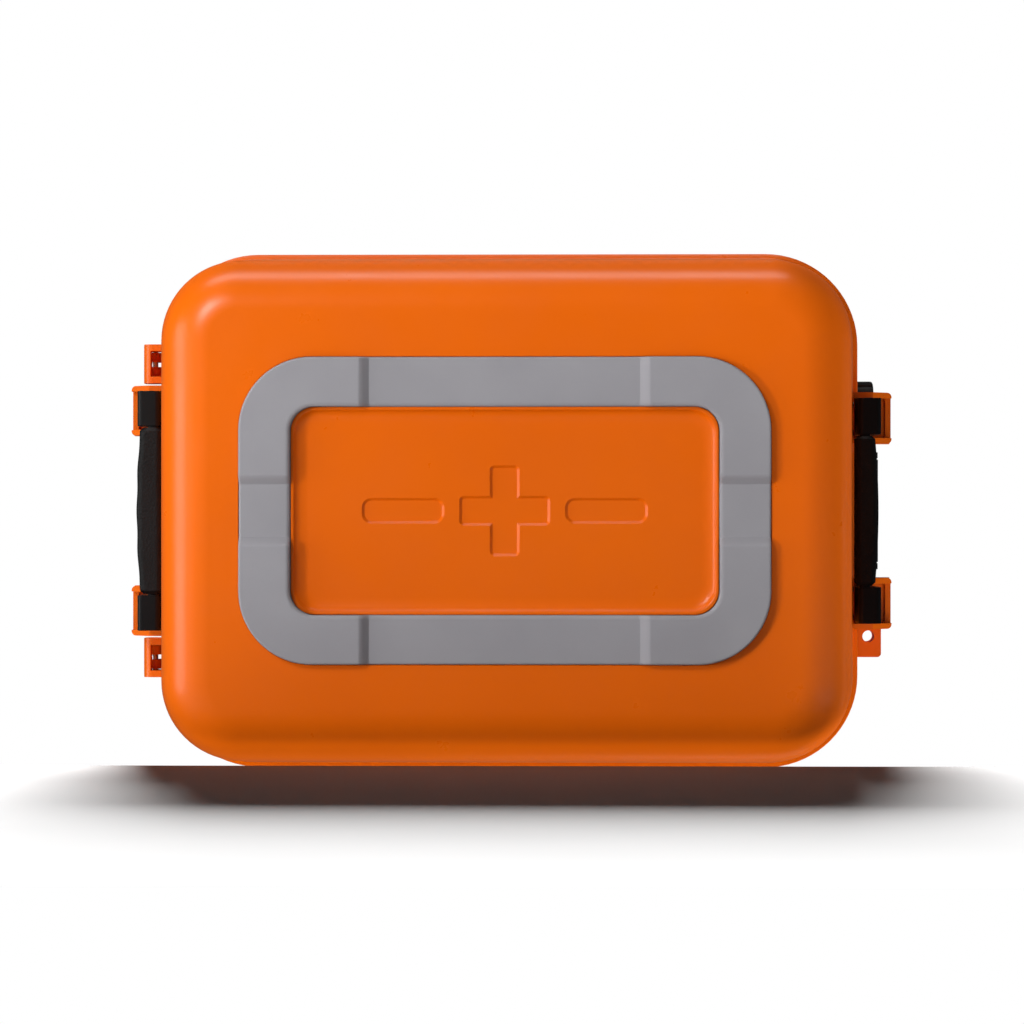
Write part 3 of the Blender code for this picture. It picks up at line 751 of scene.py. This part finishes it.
def make_floor():
    """Pale floor in front of the base only.

    It meets the case's outline in the picture, and lies a little above the rim's lowest edge.
    """
    mesh = bpy.data.meshes.new("floor")
    near, far = FLOOR_Z
    ends = ((-1, near), (1, near), (1, far), (-1, far))
    mesh.from_pydata([(sign * FLOOR_HALF_WIDTH, FLOOR_Y, z) for sign, z in ends], [], [(0, 1, 2, 3)])
    obj = bpy.data.objects.new("floor", mesh)
    bpy.context.scene.collection.objects.link(obj)
    obj.visible_glossy = False
    mat, tree, shader = new_material("floor_pale", (0.4, 0.4, 0.4), 0.9, specular=0.1)
    cloud = texture(tree, "ShaderNodeTexNoise", 6.0, Detail=2.0)
    shade = spread(tree, cloud.outputs["Fac"], 0.3, 0.7, 0.0, 1.0)
    tone = blend_color(tree, shade, (0.41, 0.41, 0.41), (0.39, 0.39, 0.39))
    tree.links.new(tone, shader.inputs["Base Color"])
    mesh.materials.append(mat)
    return obj


def make_world():
    """White background for the camera, and a much dimmer one as light on the scene."""
    world = bpy.data.worlds.new("studio")
    world.use_nodes = True
    tree = world.node_tree
    tree.nodes.clear()
    out = tree.nodes.new("ShaderNodeOutputWorld")
    light = tree.nodes.new("ShaderNodeBackground")
    light.inputs["Color"].default_value = (1.0, 1.0, 1.0, 1.0)
    light.inputs["Strength"].default_value = WORLD_LIGHT
    seen = tree.nodes.new("ShaderNodeBackground")
    seen.inputs["Strength"].default_value = 1.0
    seen.inputs["Color"].default_value = (1.0, 1.0, 1.0, 1.0)
    path = tree.nodes.new("ShaderNodeLightPath")
    mix = tree.nodes.new("ShaderNodeMixShader")
    tree.links.new(path.outputs["Is Camera Ray"], mix.inputs["Fac"])
    tree.links.new(light.outputs["Background"], mix.inputs[1])
    tree.links.new(seen.outputs["Background"], mix.inputs[2])
    tree.links.new(mix.outputs["Shader"], out.inputs["Surface"])
    bpy.context.scene.world = world


def area_light(name, place, size, power, glossy=True, receivers=None):
    """Soft light aimed at the case. It may leave no highlight, or light only some of the scene."""
    data = bpy.data.lights.new(name, "AREA")
    data.shape = "RECTANGLE"
    data.size, data.size_y = size
    data.energy = power
    obj = bpy.data.objects.new(name, data)
    obj.visible_glossy = glossy
    obj.light_linking.receiver_collection = receivers
    bpy.context.scene.collection.objects.link(obj)
    obj.location = place
    obj.rotation_euler = (Vector(AIM) - Vector(place)).to_track_quat("-Z", "Y").to_euler()


def linked(name, obj, state):
    """Receiver collection for lights, which includes only the object or leaves only it out."""
    group = bpy.data.collections.new(name)
    group.objects.link(obj)
    group.collection_objects[0].light_linking.link_state = state
    return group


def make_lights(floor):
    """Soft lights on the case alone, and on the floor alone a high one behind the case and one below.

    The high one casts the case's shadow forward, and the one below keeps the floor's underside pale.
    """
    case_only = linked("case_only", floor, "EXCLUDE")
    floor_only = linked("floor_only", floor, "INCLUDE")
    area_light("main", (-2.0, -0.1, -1.7), (0.6, 0.4), 28.5, False, case_only)
    area_light("fill", (0.5, 0.35, -2.5), (1.4, 0.2), 15.0, False, case_only)
    area_light("key", (-0.95, -0.85, -1.45), (0.4, 0.4), 13.0, True, case_only)
    area_light("side", (-2.2, -0.1, -0.6), (1.2, 1.0), 14.0, True, case_only)
    area_light("top", (-0.3, -1.95, -0.1), (1.8, 0.5), 14.0, True, case_only)
    area_light("low", (0.6, 1.5, -1.7), (1.4, 0.8), 21.0, False, case_only)
    area_light("shadow", (-0.12, -1.65, 2.4), (0.9, 1.0), 620.0, False, floor_only)
    area_light("under", (0.0, 1.5, -0.3), (1.6, 1.2), 400.0, False, floor_only)
    area_light("behind_top", (-0.18, -1.4, 1.68), (0.9, 0.8), 55.0, False, case_only)
    area_light("behind_low", (0.5, 1.6, 1.3), (1.0, 1.0), 40.0, False, case_only)
    area_light("behind_right", (1.9, 0.3, 0.9), (0.9, 0.7), 24.0, False, case_only)


def make_camera():
    """Long lens under the base, with the case's -Y side up in the picture."""
    data = bpy.data.cameras.new("camera")
    data.lens = LENS
    data.sensor_width = SENSOR
    data.clip_end = 20.0
    obj = bpy.data.objects.new("camera", data)
    bpy.context.scene.collection.objects.link(obj)
    place = Vector((0.048, 0.0, -DISTANCE))
    target = Vector((0.0038, 0.0006, 0.0))
    forward = (target - place).normalized()
    up = Vector((0.0, -1.0, 0.0))
    right = forward.cross(up).normalized()
    up = right.cross(forward)
    turn = Matrix((right, up, -forward)).transposed()
    obj.matrix_world = Matrix.Translation(place) @ turn.to_4x4()
    bpy.context.scene.camera = obj


floor = make_floor()
make_world()
make_lights(floor)
make_camera()
bpy.context.scene.view_settings.view_transform = "Standard"
